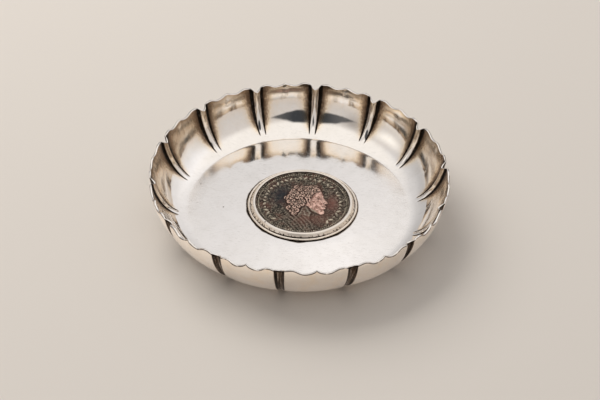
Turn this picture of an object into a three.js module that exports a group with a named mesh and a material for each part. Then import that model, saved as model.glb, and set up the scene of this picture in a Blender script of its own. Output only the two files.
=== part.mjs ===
// A small round silver dish with fluted, bracket-edged walls and a coin in a collar on its floor.
// Sizes are in millimetres. +Z is up, and the origin lies on the table under the dish's middle.
// One flute points to +Y and one to -Y, and the middle of a panel lies on +X and on -X.

import * as THREE from 'three';

// Dish sheet and its profile
const sheetThickness = 0.8;
const cornerRadius = 59.6; // outside of the wall, where a panel meets a flute at the rim
const cornerHeight = 19.9; // table to that corner
const landRadius = 45; // where the flat land ends and the wall starts to turn up
const landWidth = 2; // the flat ring that the dish rests on
const floorRise = 0.4; // how far the floor is pushed up inside the land
const wallStartRise = 1; // tilts the start of the wall, so that it leaves the land at an edge
const bellyFullness = 0.76; // share of the wall's spread that the belly runs out before it turns up
const shoulderDrop = 4; // below the corner, where the wall has turned upright
const shoulderSwell = 0.7; // how far the upright wall leans out past the corner

// Panels between the flutes
const panelCount = 14;
const panelBulge = 0.4; // how far a panel's middle swells out past its corners
const cuspLift = 0.65; // the point in the middle of a panel's rim, above the corner
const humpLift = 0.6; // the round shoulders beside the corners, above the corner
const dipDrop = 0.9; // the hollows beside the point, below the corner
const dipPlace = 0.4; // hollow, as a share of half a panel's width from its middle
const humpPlace = 0.76; // shoulder, measured the same way
const cuspCreaseDepth = 0.3; // the small crease chased in below each point, at the rim
const cuspCreaseReach = 0.34; // share of the wall curve, down from the rim, over which it fades out
const cuspCreasePlace = 0.05; // half its width, as a share of half a panel's width

// Flutes chased in from outside
const fluteWidth = 4.3; // at the rim
const fluteFootWidth = 2.4; // where it runs out at the floor
const fluteDepth = 1.5; // at the rim
const fluteNotch = 1.5; // how far the rim drops where it follows the fold
const fluteFootReach = 3.4; // from the land's edge out to where the flutes run out
const foldRoundness = 1.5; // 1 folds a flute to a sharp crest, 2 to a round one

// Coin
const coinRadius = 19.6;
const coinThickness = 1.6; // at its raised border
const coinFieldDepth = 0.45; // field below the border, on both faces
const coinBorderWidth = 1.1;
const coinBevel = 0.15;

// Collar that holds the coin, and the wire round the collar's foot
const coinPlay = 0.1; // between the coin and the collar, all round
const solderGap = 0.05; // between pieces that are soldered together
const collarFootThickness = 1.5;
const collarTopThickness = 0.6;
const lipThickness = 0.32; // where the collar's edge is rubbed over the coin
const lipOverlap = 0.5;
const lipRound = 0.18;
const wireWidth = 1.1;
const wireHeight = 0.75;
const mountOffsetRight = 1.4; // the coin stands this far off the dish's middle, towards +X
const mountOffsetBack = 0.95; // and this far towards +Y
const seatMargin = 0.5; // flat floor past the wire

// Facets
const wallSteps = 6;
const floorSteps = 2;
const roundFacets = 84;
const wireFacets = 6;
const halvings = 40; // of the range in which a place on the wall is looked for

const collarHeight = coinThickness + coinPlay + lipThickness;
const collarInnerRadius = coinRadius + coinPlay;
const collarFootRadius = collarInnerRadius + collarFootThickness;
const wireInnerRadius = collarFootRadius + solderGap;
const wireOuterRadius = wireInnerRadius + wireWidth;
const mountOffset = Math.hypot(mountOffsetRight, mountOffsetBack);
const seatRadius = wireOuterRadius + mountOffset + seatMargin;
const landInnerRadius = landRadius - landWidth;
const pitch = (2 * Math.PI) / panelCount;

function mix(from, to, share) {
  return from + (to - from) * share;
}

// Materials
function metal(name, color, roughness) {
  const material = new THREE.MeshStandardMaterial({ color, roughness, metalness: 1 });
  material.name = name;
  return material;
}

const dishSilver = metal('dish silver', 0xdcd8d2, 0.22);
const collarSilver = metal('collar silver', 0xd9cfc0, 0.26);
const wireSilver = metal('wire silver', 0xd5ccbe, 0.28);
const coinBronze = metal('coin bronze', 0x5a3f33, 0.5);

// The underside of the wall, from the land's edge up to the highest point of the rim
const wallSpread = cornerRadius - landRadius;
const highestRim = cornerHeight + Math.max(cuspLift, humpLift);
const wallCurve = new THREE.CubicBezierCurve(
  new THREE.Vector2(landRadius, 0),
  new THREE.Vector2(landRadius + bellyFullness * wallSpread, wallStartRise),
  new THREE.Vector2(cornerRadius + shoulderSwell, highestRim - shoulderDrop),
  new THREE.Vector2(cornerRadius, highestRim),
);

// Where along the wall curve a measure first reaches a value
function wallPlace(measure, value) {
  let low = 0;
  let high = 1;
  for (let step = 0; step < halvings; step += 1) {
    const middle = (low + high) / 2;
    if (measure(wallCurve.getPoint(middle)) < value) {
      low = middle;
    } else {
      high = middle;
    }
  }
  return high;
}

const fluteFoot = wallPlace((point) => point.x, landRadius + fluteFootReach);

// How far the flutes have opened at a place on the wall: none at their foot, full at the rim
function fluteGrowth(place) {
  const share = Math.max(0, place - fluteFoot) / (1 - fluteFoot);
  return 1 - (1 - share) ** 2;
}

// Depth of the fold across a flute, from 0 at its two creases to 1 at its rounded crest
function foldShape(across) {
  return 1 - Math.abs(across) ** foldRoundness;
}

// Height of a panel's rim above its corners: a pointed middle, two hollows, two round shoulders
function panelLift(along) {
  const share = Math.abs(along);
  if (share < dipPlace) {
    return mix(-dipDrop, cuspLift, (1 - share / dipPlace) ** 2);
  }
  if (share < humpPlace) {
    const climb = (share - dipPlace) / (humpPlace - dipPlace);
    return mix(-dipDrop, humpLift, (1 - Math.cos(Math.PI * climb)) / 2);
  }
  const fall = (share - humpPlace) / (1 - humpPlace);
  return humpLift * (1 - fall ** 2);
}

// The columns of one repeat: across a flute from -1 to 1, then along a panel from -1 to 1
const halfPanel = [
  0,
  cuspCreasePlace,
  dipPlace / 2,
  dipPlace,
  (dipPlace + humpPlace) / 2,
  humpPlace,
  (humpPlace + 1) / 2,
  1,
];
const panelStations = [...halfPanel.slice(1).reverse().map((share) => -share), ...halfPanel];
const fluteStations = [-0.5, 0, 0.5];
const columns = [];
for (let flute = 0; flute < panelCount; flute += 1) {
  for (const across of fluteStations) {
    const fold = foldShape(across);
    columns.push({ flute, across, fold, swell: 0, crease: 0, rim: -fluteNotch * fold });
  }
  for (const along of panelStations) {
    const crease = along === 0 ? 1 : 0;
    columns.push({ flute, along, fold: 0, swell: 1 - along ** 2, crease, rim: panelLift(along) });
  }
}
for (const column of columns) {
  column.rimPlace = wallPlace((point) => point.y, cornerHeight + column.rim);
}

// Angle of a column on a ring, with the flute's width there given in millimetres
function columnAngle(column, radius, width) {
  const halfFlute = width / 2 / radius;
  const middle = Math.PI / 2 + column.flute * pitch;
  if (column.across !== undefined) {
    return middle + column.across * halfFlute;
  }
  return middle + pitch / 2 + column.along * (pitch / 2 - halfFlute);
}

// A level ring of the floor
function floorRing(radius, height) {
  return columns.map((column) => {
    const angle = columnAngle(column, radius, fluteFootWidth);
    return new THREE.Vector3(radius * Math.cos(angle), radius * Math.sin(angle), height);
  });
}

// A ring of the wall at a share of its way up, on the underside or a sheet's thickness above it
function wallRing(share, lift) {
  return columns.map((column) => {
    const place = share * column.rimPlace;
    const growth = fluteGrowth(place);
    const point = wallCurve.getPoint(place);
    const tangent = wallCurve.getTangent(place);
    const inward = new THREE.Vector2(-tangent.y, tangent.x);
    const creaseShare = Math.max(0, 1 - (column.rimPlace - place) / cuspCreaseReach);
    const pushedIn = fluteDepth * growth * column.fold + cuspCreaseDepth * creaseShare * column.crease;
    const shift = lift + pushedIn - panelBulge * growth * column.swell;
    const radius = point.x + inward.x * shift;
    const height = point.y + inward.y * shift;
    const angle = columnAngle(column, radius, mix(fluteFootWidth, fluteWidth, growth));
    return new THREE.Vector3(radius * Math.cos(angle), radius * Math.sin(angle), height);
  });
}

// One closed body over rings of points, with a point closing each end
function closedSkin(firstPole, rings, lastPole) {
  const count = rings[0].length;
  const points = [firstPole, ...rings.flat(), lastPole];
  const at = (ring, column) => 1 + ring * count + (column % count);
  const index = [];
  for (let column = 0; column < count; column += 1) {
    index.push(0, at(0, column + 1), at(0, column));
    for (let ring = 0; ring < rings.length - 1; ring += 1) {
      index.push(at(ring, column), at(ring, column + 1), at(ring + 1, column + 1));
      index.push(at(ring, column), at(ring + 1, column + 1), at(ring + 1, column));
    }
    index.push(at(rings.length - 1, column), at(rings.length - 1, column + 1), points.length - 1);
  }
  const geometry = new THREE.BufferGeometry().setFromPoints(points);
  geometry.setIndex(index);
  geometry.computeVertexNormals();
  return geometry;
}

// A body turned about the Z axis from a profile of [radius, height] points
function turned(profile) {
  const points = profile.map(([radius, height]) => new THREE.Vector2(radius, height));
  const geometry = new THREE.LatheGeometry(points, roundFacets);
  geometry.rotateX(Math.PI / 2);
  return geometry;
}

// Dish body: one raised sheet, from the middle of its underside over the rim to the middle of the floor
function dishBody() {
  const rings = [];
  for (let step = 0; step <= floorSteps; step += 1) {
    const share = step / floorSteps;
    rings.push(floorRing(mix(seatRadius, landInnerRadius, share), floorRise * (1 - share)));
  }
  for (let step = 0; step <= wallSteps; step += 1) {
    rings.push(wallRing(step / wallSteps, 0));
  }
  for (let step = wallSteps; step >= 0; step -= 1) {
    rings.push(wallRing(step / wallSteps, sheetThickness));
  }
  for (let step = floorSteps - 1; step >= 0; step -= 1) {
    const share = step / floorSteps;
    const height = sheetThickness + floorRise * (1 - share);
    rings.push(floorRing(mix(seatRadius, landInnerRadius, share), height));
  }
  const underside = new THREE.Vector3(0, 0, floorRise);
  const floorMiddle = new THREE.Vector3(0, 0, floorRise + sheetThickness);
  return new THREE.Mesh(closedSkin(underside, rings, floorMiddle), dishSilver);
}

// Collar: a tapered band with its top edge rubbed over the coin
function coinCollar() {
  const lipInnerRadius = coinRadius - lipOverlap;
  const lipUnderside = collarHeight - lipThickness;
  const topRadius = collarInnerRadius + collarTopThickness;
  return new THREE.Mesh(turned([
    [collarInnerRadius, 0],
    [collarFootRadius, 0],
    [collarFootRadius, wireHeight / 2],
    [topRadius, collarHeight - lipThickness],
    [topRadius - lipRound, collarHeight - lipRound / 2],
    [collarInnerRadius, collarHeight],
    [lipInnerRadius + lipRound, collarHeight - lipRound / 2],
    [lipInnerRadius, lipUnderside + lipRound / 2],
    [lipInnerRadius, lipUnderside],
    [collarInnerRadius, lipUnderside],
    [collarInnerRadius, 0],
  ]), collarSilver);
}

// Wire: half-round, bent into a ring round the collar's foot
function collarWire() {
  const profile = [];
  for (let facet = 0; facet <= wireFacets; facet += 1) {
    const angle = (Math.PI * facet) / wireFacets;
    const radius = (wireInnerRadius + wireOuterRadius) / 2 + (wireWidth / 2) * Math.cos(angle);
    profile.push([radius, wireHeight * Math.sin(angle)]);
  }
  profile.push(profile[0]);
  return new THREE.Mesh(turned(profile), wireSilver);
}

// Coin: a struck disc with a raised border on both faces
function coin() {
  const fieldRadius = coinRadius - coinBorderWidth;
  return new THREE.Mesh(turned([
    [0, coinFieldDepth],
    [fieldRadius - coinFieldDepth, coinFieldDepth],
    [fieldRadius, 0],
    [coinRadius - coinBevel, 0],
    [coinRadius, coinBevel],
    [coinRadius, coinThickness - coinBevel],
    [coinRadius - coinBevel, coinThickness],
    [fieldRadius, coinThickness],
    [fieldRadius - coinFieldDepth, coinThickness - coinFieldDepth],
    [0, coinThickness - coinFieldDepth],
  ]), coinBronze);
}

function named(name, mesh) {
  mesh.name = name;
  return mesh;
}

const coinMount = new THREE.Group();
coinMount.position.set(mountOffsetRight, mountOffsetBack, floorRise + sheetThickness + solderGap);
coinMount.add(named('coin_collar', coinCollar()));
coinMount.add(named('collar_wire', collarWire()));
coinMount.add(named('coin', coin()));

const coinDish = new THREE.Group();
coinDish.name = 'coin_dish';
coinDish.add(named('dish_body', dishBody()));
coinDish.add(coinMount);

export default coinDish;
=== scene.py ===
# Looks of a small silver dish with fluted walls, a bracket-shaped rim and a coin set in its floor.
# Lengths are in metres, except those whose name or comment says millimetres.

import math

import bpy
import numpy as np
from mathutils import Matrix, Vector


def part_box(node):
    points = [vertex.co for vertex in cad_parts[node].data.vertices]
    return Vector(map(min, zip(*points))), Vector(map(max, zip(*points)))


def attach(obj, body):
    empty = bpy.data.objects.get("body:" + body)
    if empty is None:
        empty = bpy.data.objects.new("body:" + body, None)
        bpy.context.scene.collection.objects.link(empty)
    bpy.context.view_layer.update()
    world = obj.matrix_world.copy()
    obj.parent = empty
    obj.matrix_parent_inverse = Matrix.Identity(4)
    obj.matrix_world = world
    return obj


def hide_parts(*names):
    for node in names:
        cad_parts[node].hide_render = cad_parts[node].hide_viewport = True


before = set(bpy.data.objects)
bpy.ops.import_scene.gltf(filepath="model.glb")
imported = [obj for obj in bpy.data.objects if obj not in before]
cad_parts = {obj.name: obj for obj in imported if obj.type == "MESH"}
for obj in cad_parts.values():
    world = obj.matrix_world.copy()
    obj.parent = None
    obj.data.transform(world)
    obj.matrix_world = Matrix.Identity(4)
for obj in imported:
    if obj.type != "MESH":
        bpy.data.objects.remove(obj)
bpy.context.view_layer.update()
scene = bpy.context.scene
scene.view_settings.view_transform = "Standard"


# Camera
# It stands over the front of the dish, a little to the right, and looks down at its floor.
# Its place, lens and tilt come from the corners of the rim and the ellipses of the collar.
camera_distance = 0.5700
camera_height_angle = math.radians(39.884)
camera_turn = math.radians(6.044)
camera_tilt = math.radians(-1.169)
aim_right = 0.000417
aim_up = 0.003380

level = Vector((-math.sin(camera_turn), math.cos(camera_turn), 0))
ahead = level * math.cos(camera_height_angle) - Vector((0, 0, math.sin(camera_height_angle)))
right = Vector((math.cos(camera_turn), math.sin(camera_turn), 0))
up = right.cross(ahead)
camera_data = bpy.data.cameras.new("dish_camera")
camera_data.lens = 84.11
camera_data.sensor_width = 36
camera_data.clip_start = 0.02
camera = bpy.data.objects.new("dish_camera", camera_data)
camera_right = right * math.cos(camera_tilt) - up * math.sin(camera_tilt)
camera_up = right * math.sin(camera_tilt) + up * math.cos(camera_tilt)
camera.matrix_world = Matrix((camera_right, camera_up, -ahead)).transposed().to_4x4()
camera.location = -ahead * camera_distance + right * aim_right + up * aim_up
scene.collection.objects.link(camera)
scene.camera = camera


# Table and light
# A plain pale table, which gives off a faint warm painted glow that only the silver mirrors, a large soft
# lamp high on the left, and a pale room all round it.
# Polished silver shows the room, so its ceiling is bright and its walls are warmer and darker.
class Field:
    """A value, vector or colour in a node tree, which plain signs such as + and * work on"""

    def __init__(self, tree, socket):
        self.tree = tree
        self.socket = socket

    def math(self, operation, *others, clamp=False):
        """What a maths node makes of the value and of others"""
        inputs = dict(enumerate((self, *others)))
        return place(self.tree, "ShaderNodeMath", inputs, operation=operation, use_clamp=clamp)

    def __rsub__(self, other):
        return self.math("MULTIPLY_ADD", -1, other)

    def __rtruediv__(self, other):
        return self.math("POWER", -1) * other

    def __neg__(self):
        return self.math("MULTIPLY", -1)

    def __abs__(self):
        return self.math("ABSOLUTE")

    def ramp(self, low, high, start=0, end=1, smooth=False):
        """Runs from start to end as the value goes from low to high, and stays there beyond them"""
        inputs = dict(enumerate((self, low, high, start, end)))
        way = "SMOOTHSTEP" if smooth else "LINEAR"
        return place(self.tree, "ShaderNodeMapRange", inputs, interpolation_type=way)

    def bell(self, middle, width):
        """1 where the value is at the middle, fading to nothing over the width"""
        off = (self - middle) / width
        return (-(off * off)).math("EXPONENT")

    def past(self, level):
        """How far the value is over a level, and nothing below it"""
        return (self - level).math("MAXIMUM", 0)

    def beside(self, output):
        """Another output of the same node"""
        return Field(self.tree, self.socket.node.outputs[output])


def signed(operation):
    """What a plain sign does with a field and another value"""
    return lambda field, other: field.math(operation, other)


Field.__add__ = Field.__radd__ = signed("ADD")
Field.__sub__ = signed("SUBTRACT")
Field.__mul__ = Field.__rmul__ = signed("MULTIPLY")
Field.__truediv__ = signed("DIVIDE")
Field.__pow__ = signed("POWER")


def plug(node, inputs):
    """Links fields to a node's inputs, or writes plain values on them, by the inputs' names or numbers"""
    for name, value in inputs.items():
        if isinstance(value, Field):
            value.tree.links.new(value.socket, node.inputs[name])
        else:
            node.inputs[name].default_value = value


def place(tree, kind, inputs=None, output=0, **settings):
    """Puts a node in a tree, with its settings and inputs, and gives one output"""
    node = tree.nodes.new(kind)
    for name, value in settings.items():
        setattr(node, name, value)
    plug(node, inputs or {})
    return Field(tree, node.outputs[output])


def axes_of(vector):
    """The three numbers of a vector, as fields"""
    split = place(vector.tree, "ShaderNodeSeparateXYZ", {0: vector})
    return [split.beside(number) for number in range(3)]


def scaled(vector, factor):
    """A vector or a colour, times a number"""
    return place(vector.tree, "ShaderNodeVectorMath", {0: vector, 3: factor}, operation="SCALE")


def blend(share, first, second):
    """A colour between two others, by the share of the second"""
    return place(share.tree, "ShaderNodeMix", {0: share, 6: first, 7: second}, 2, data_type="RGBA")


def coats(color, *layers):
    """A colour with others laid over it in turn, each by its share"""
    for share, coat in layers:
        color = blend(share, color, coat)
    return color


def seen_in_metal(tree):
    """1 for what the silver mirrors, and 0 for all else"""
    return place(tree, "ShaderNodeLightPath", output="Is Glossy Ray")


def new_material(name, principled):
    """A material with one Principled shader, whose plain values are given by the names of its sockets"""
    material = bpy.data.materials.new(name)
    material.use_nodes = True
    shader = material.node_tree.nodes["Principled BSDF"]
    plug(shader, principled)
    return material, material.node_tree, shader


def mesh_object(name, points, faces, material):
    """A smooth mesh object at the origin, from its points and faces"""
    mesh = bpy.data.meshes.new(name)
    mesh.from_pydata([tuple(each) for each in points], [], faces)
    mesh.shade_smooth()
    mesh.materials.append(material)
    piece = bpy.data.objects.new(name, mesh)
    scene.collection.objects.link(piece)
    return piece


table_size = 6
table_color = (0.68, 0.65, 0.62, 1)
mirrored_glow = (1, 0.86, 0.74, 1)
mirrored_glow_strength = 0.15
table_material, tree, shader = new_material("table_plain", {"Base Color": table_color, "Roughness": 0.7})
half = table_size / 2
corners = [(-half, -half, 0), (half, -half, 0), (half, half, 0), (-half, half, 0)]
table = mesh_object("table", corners, [(0, 1, 2, 3)], table_material)
# Painted light: the table glows faintly warm, but only in what the silver mirrors
table_glow = seen_in_metal(tree) * mirrored_glow_strength
plug(shader, {"Emission Color": mirrored_glow, "Emission Strength": table_glow})

lamp_data = bpy.data.lights.new("window_lamp", "AREA")
lamp_data.shape = "RECTANGLE"
lamp_data.size = 1.3
lamp_data.size_y = 1.0
lamp_data.energy = 17
lamp_data.color = (1, 0.95, 0.88)
lamp = bpy.data.objects.new("window_lamp", lamp_data)
lamp.location = (-0.8, 0.75, 0.95)
lamp.rotation_euler = (-lamp.location).to_track_quat("-Z", "Y").to_euler()
lamp.visible_glossy = False  # the silver shows the room's own window instead
scene.collection.objects.link(lamp)

# The room is painted by direction, as the shares east, north and up of a line one long towards it
near_tint = (1, 0.93, 0.87, 1)
far_tint = (1, 0.968, 0.95, 1)
low_east_color = (0.7, 0.61, 0.53, 1)
low_west_color = (0.9, 0.82, 0.73, 1)
ceiling_color = (1, 0.95, 0.89, 1)
window_color = (1.12, 1.06, 0.98, 1)
shelf_color = (0.12, 0.09, 0.07, 1)
board_color = (0.05, 0.053, 0.058, 1)
room_light = 0.68  # what isn't mirrored gets this share of the room's brightness
world = bpy.data.worlds.new("room")
scene.world = world
world.use_nodes = True
tree = world.node_tree
east, north, height = axes_of(place(tree, "ShaderNodeTexCoord", output="Generated"))
south = -north
west = -east
far_wall = north.ramp(-0.2, 0.3, smooth=True)
side_light = east.ramp(-0.4, 0.4, -0.15, 0.15) + height.ramp(0.4, 0.85, 0.03, 0.26)
glow = east.bell(-0.035, 0.065) * height.bell(0.7, 0.04) * 0.14
brightness = 0.62 + height * 0.12 + far_wall * (side_light + glow)
lit_wall = scaled(blend(far_wall, near_tint, far_tint), brightness)
window = height.bell(0.46, 0.17) * north.bell(-0.27, 0.24) * west.ramp(0.3, 0.6)

# A dark board stands in the south, highest in its middle, with the shade of a shelf to the west of it
board_foot = 0.38 + east.past(0.1) * 0.5 + west.past(0.1) * 0.1
board_top = 0.83 - east.past(0.12) * 0.66 - west.past(0) * 0.3 - west.past(0.3) * 0.6
over_foot = (height - board_foot).ramp(0, 0.05)
under_top = (board_top - height).ramp(-0.02, 0.04)
board = over_foot * under_top * north.ramp(-0.3, -0.1, 1, 0) * abs(east).ramp(0.15, 0.45, 1, 0.85)
shelf = west.bell(0.56, 0.13) * south.bell(0.62, 0.2) * height.bell(0.52, 0.28) * 0.5
room_color = coats(
    blend(west.ramp(0.2, 0.9), low_east_color, low_west_color),
    (height.ramp(-0.05, 0.3, smooth=True), lit_wall),
    (height.ramp(0.66, 0.86, smooth=True), ceiling_color),
    (window, window_color),
    (shelf, shelf_color),
    (board, board_color),
)
room_strength = seen_in_metal(tree).ramp(0, 1, room_light, 1)
plug(tree.nodes["Background"], {"Color": room_color, "Strength": room_strength})


# Dish body
# One sheet of silver, raised into a bowl with a flat floor. Its wall is chased in from outside into
# fourteen flutes, and its rim is cut to a bracket line, with a small crease below each point.
MM = 0.001  # a millimetre, in metres
wire_low, wire_high = (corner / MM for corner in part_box("collar_wire"))
coin_place = ((wire_low.x + wire_high.x) / 2, (wire_low.y + wire_high.y) / 2, wire_low.z)
wire_outer_radius = (wire_high.x - wire_low.x) / 2
seat_margin = 0.5
dish_sizes = {  # in millimetres, and the places as shares
    "Panels": 14,
    "Sheet Thickness": 0.8,
    "Corner Radius": 59.6,
    "Corner Height": 19.9,
    "Highest Rim": 20.55,
    "Land Radius": 45.0,
    "Land Inner Radius": 43.0,
    "Seat Radius": math.hypot(*coin_place[:2]) + wire_outer_radius + seat_margin,
    "Floor Rise": 0.4,
    "Wall Start Rise": 1.0,
    "Belly Fullness": 0.76,
    "Shoulder Drop": 4.0,
    "Shoulder Swell": 0.7,
    "Panel Bulge": 0.4,
    "Cusp Lift": 0.65,
    "Hump Lift": 0.6,
    "Dip Drop": 0.9,
    "Dip Place": 0.4,
    "Hump Place": 0.76,
    "Flute Width": 4.3,
    "Flute Foot Width": 2.4,
    "Flute Depth": 1.5,
    "Flute Notch": 1.5,
    "Flute Foot Place": 0.1095,
    "Crease Depth": 0.22,
    "Crease Width": 0.4,
    "Cusp Crease": 0.3,
    "Cusp Crease Width": 0.45,
    "Edge Round": 0.16,
    "Hand Wobble": 0.22,
    "Rim Wobble": 0.35,
    "Hand Seed": 4,
}
wall_length = 24  # in millimetres, from the land to the rim
# The flutes were set out by eye, so each stands a little off its even place, in degrees, and the rim
# was cut by eye, so it is lower at some of them, in millimetres. Some flutes run out sooner than others,
# by a share of the wall curve. The first flute is the one on +Y.
flute_offsets = [0.0, -0.5, -0.35, -0.1, 0.6, 0.3, 1.1, -0.5, 0.6, 0.2, -0.55, -0.8, 0.0, -0.25]
rim_drops = [0.0, 0.05, 0.2, 0.45, 0.75, 0.6, 0.3, 0.0, 0.1, 0.3, 0.7, 0.75, 0.4, 0.15]
flute_feet = [-0.013, 0.015, 0.0, 0.0, 0.01, 0.0, 0.0, -0.01, 0.0, 0.015, 0.0, 0.0, 0.013, 0.043]
flute_columns = 20
panel_columns = 36
row_counts = {  # from the middle of the underside, over the rim, to the middle of the floor
    "under seat": 2,
    "under floor": 4,
    "under land": 2,
    "outer wall": 30,
    "cut edge": 6,
    "inner wall": 46,
    "top land": 2,
    "top floor": 10,
    "top seat": 6,
}


def piece_tree(name, material_input, sizes):
    """A geometry tree with a named input for each size and for its material, and its inputs as fields"""
    tree = bpy.data.node_groups.new(name, "GeometryNodeTree")
    for way in ("INPUT", "OUTPUT"):
        tree.interface.new_socket("Geometry", in_out=way, socket_type="NodeSocketGeometry")
    tree.interface.new_socket(material_input, in_out="INPUT", socket_type="NodeSocketMaterial")
    for size_name, value in sizes.items():
        kind = "NodeSocketInt" if isinstance(value, int) else "NodeSocketFloat"
        tree.interface.new_socket(size_name, in_out="INPUT", socket_type=kind)
    given = tree.nodes.new("NodeGroupInput").outputs
    return tree, {socket.name: Field(tree, socket) for socket in given if socket.name}


def keep_measures(geometry, values):
    """Keeps fields or numbers on the geometry's points under their names, for the finish to follow"""
    for name, value in values.items():
        inputs = {"Geometry": geometry, "Name": name, "Value": value}
        geometry = place(geometry.tree, "GeometryNodeStoreNamedAttribute", inputs)
    return geometry


def finish_tree(geometry, material):
    """Smooths the geometry, makes its copies real, gives it its material and ends its tree"""
    tree = geometry.tree
    smooth = place(tree, "GeometryNodeSetShadeSmooth", {"Geometry": geometry})
    realized = place(tree, "GeometryNodeRealizeInstances", {"Geometry": smooth})
    coated = place(tree, "GeometryNodeSetMaterial", {"Geometry": realized, "Material": material})
    plug(tree.nodes.new("NodeGroupOutput"), {0: coated})


def point(tree, x=0, y=0, z=0):
    """A vector from three numbers or fields"""
    return place(tree, "ShaderNodeCombineXYZ", {0: x, 1: y, 2: z})


def point_axes(tree):
    """The x, y and z of each point of a geometry"""
    return axes_of(place(tree, "GeometryNodeInputPosition"))


def noise(vector, scale, detail=3, roughness=0.5, seed=None):
    """Cloudy noise from 0 to 1 over a vector, with its scale in waves to the unit, and a seed if given"""
    inputs = {"Vector": vector, "Scale": scale, "Detail": detail, "Roughness": roughness}
    if seed is None:
        return place(vector.tree, "ShaderNodeTexNoise", inputs)
    return place(vector.tree, "ShaderNodeTexNoise", {**inputs, "W": seed}, noise_dimensions="4D")


tree, size = piece_tree("raised_dish", "Silver", dish_sizes)
per_repeat = flute_columns + panel_columns
total_columns = per_repeat * dish_sizes["Panels"]
total_rows = sum(row_counts.values())
grid = place(tree, "GeometryNodeMeshGrid", {
    "Size X": total_columns,
    "Size Y": total_rows,
    "Vertices X": total_columns + 1,
    "Vertices Y": total_rows + 1,
})
grid_x, grid_y, _ = point_axes(tree)
column = grid_x + total_columns / 2
row = grid_y + total_rows / 2

# Where a column lies: across a flute from -1 to 1, then along a panel from -1 to 1. The columns of a
# panel stand closer together beside its creases.
rounding_guard = 0.01
repeat = ((column + rounding_guard) / per_repeat).math("FLOOR")
in_repeat = column - repeat * per_repeat
across = in_repeat.ramp(0, flute_columns, -1, 1)
even = in_repeat.ramp(flute_columns, per_repeat, -1, 1)
along = even * 0.4 + (even * (math.pi / 2)).math("SINE") * 0.6
off_middle = abs(along)
off_crest = abs(across)
fold = 1 - off_crest ** 1.5
swell = 1 - along * along
pitch = 2 * math.pi / size["Panels"]


def by_flute(number, values):
    """The value that belongs to a flute's number, in a list with one for each flute"""
    chosen = tree.nodes.new("GeometryNodeIndexSwitch")
    chosen.data_type = "FLOAT"
    while len(chosen.index_switch_items) < len(values):
        chosen.index_switch_items.new()
    plug(chosen, {0: number.math("MODULO", len(values)), **dict(enumerate(values, 1))})
    return Field(tree, chosen.outputs[0])


def between_flutes(values):
    """Runs evenly over a panel from the value of one flute to the value of the next"""
    here, there = by_flute(repeat, values), by_flute(repeat + 1, values)
    return here + (there - here) * (along + 1) / 2


# Where a row lies: out over the underside, up the wall, over the cut edge, and back in again
shares = {}
passed = 0
for name, count in row_counts.items():
    shares[name] = row.ramp(passed, passed + count)
    passed += count
floor_radius = (
    size["Seat Radius"] * (shares["under seat"] - shares["top seat"])
    + (size["Land Inner Radius"] - size["Seat Radius"]) * (shares["under floor"] - shares["top floor"])
    + (size["Land Radius"] - size["Land Inner Radius"]) * (shares["under land"] - shares["top land"])
)
up_wall = shares["outer wall"] - shares["inner wall"]
side = shares["cut edge"]
slope = (size["Land Inner Radius"] - floor_radius) / (size["Land Inner Radius"] - size["Seat Radius"])
upper_bend, lower_bend = 0.08, 0.06  # how softly the floor bends at the coin's seat and at the land
floor_height = size["Floor Rise"] * slope.math("SMOOTH_MIN", 1, upper_bend).math("SMOOTH_MAX", 0, lower_bend)

# Height of the rim: a point, two hollows and two round shoulders in each panel, a notch at each flute
near_point = off_middle / size["Dip Place"]
climb = off_middle.ramp(size["Dip Place"], size["Hump Place"])
fall = off_middle.ramp(size["Hump Place"], 1)
full_turn = (column / total_columns) * (2 * math.pi)
ring = point(tree, full_turn.math("COSINE"), full_turn.math("SINE"))
rim_noise = noise(ring, 9, 2, seed=size["Hand Seed"])
rim = (
    (size["Cusp Lift"] + size["Dip Drop"]) * (1 - near_point.math("MINIMUM", 1)) ** 2
    - size["Dip Drop"]
    + (size["Hump Lift"] + size["Dip Drop"]) * (1 - (climb * math.pi).math("COSINE")) / 2
    - size["Hump Lift"] * fall * fall
    - size["Flute Notch"] * fold
    - size["Rim Wobble"] * rim_noise.ramp(0.35, 0.75)
    - between_flutes(rim_drops)
)

# The wall curve, a Bezier from the land's edge to the highest point of the rim
spread = size["Corner Radius"] - size["Land Radius"]
radius_points = (
    size["Land Radius"],
    size["Land Radius"] + size["Belly Fullness"] * spread,
    size["Corner Radius"] + size["Shoulder Swell"],
    size["Corner Radius"],
)
height_points = (0, size["Wall Start Rise"], size["Highest Rim"] - size["Shoulder Drop"], size["Highest Rim"])


def wall_curve(points, share):
    """One coordinate of the wall curve at a share of its way, and how fast it changes there"""
    left = 1 - share
    start, first, second, end = points
    value = (
        start * left ** 3
        + 3 * first * left ** 2 * share
        + 3 * second * left * share ** 2
        + end * share ** 3
    )
    speed = 3 * (
        left ** 2 * (first - start)
        + 2 * left * share * (second - first)
        + share ** 2 * (end - second)
    )
    return value, speed


# Where the rim's height is reached on the curve: a first guess, then made better three times
steepness = 1.45
rim_height = size["Corner Height"] + rim
rim_place = 1 - (size["Highest Rim"] - rim_height) / (3 * size["Shoulder Drop"] * steepness)
for _ in range(3):
    reached, speed = wall_curve(height_points, rim_place)
    rim_place = rim_place - (reached - rim_height) / speed
wall_place = up_wall * rim_place
wall_radius, outward_speed = wall_curve(radius_points, wall_place)
wall_height, upward_speed = wall_curve(height_points, wall_place)
whole_speed = (outward_speed ** 2 + upward_speed ** 2).math("SQRT")
outward = outward_speed / whole_speed
upward = upward_speed / whole_speed

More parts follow.
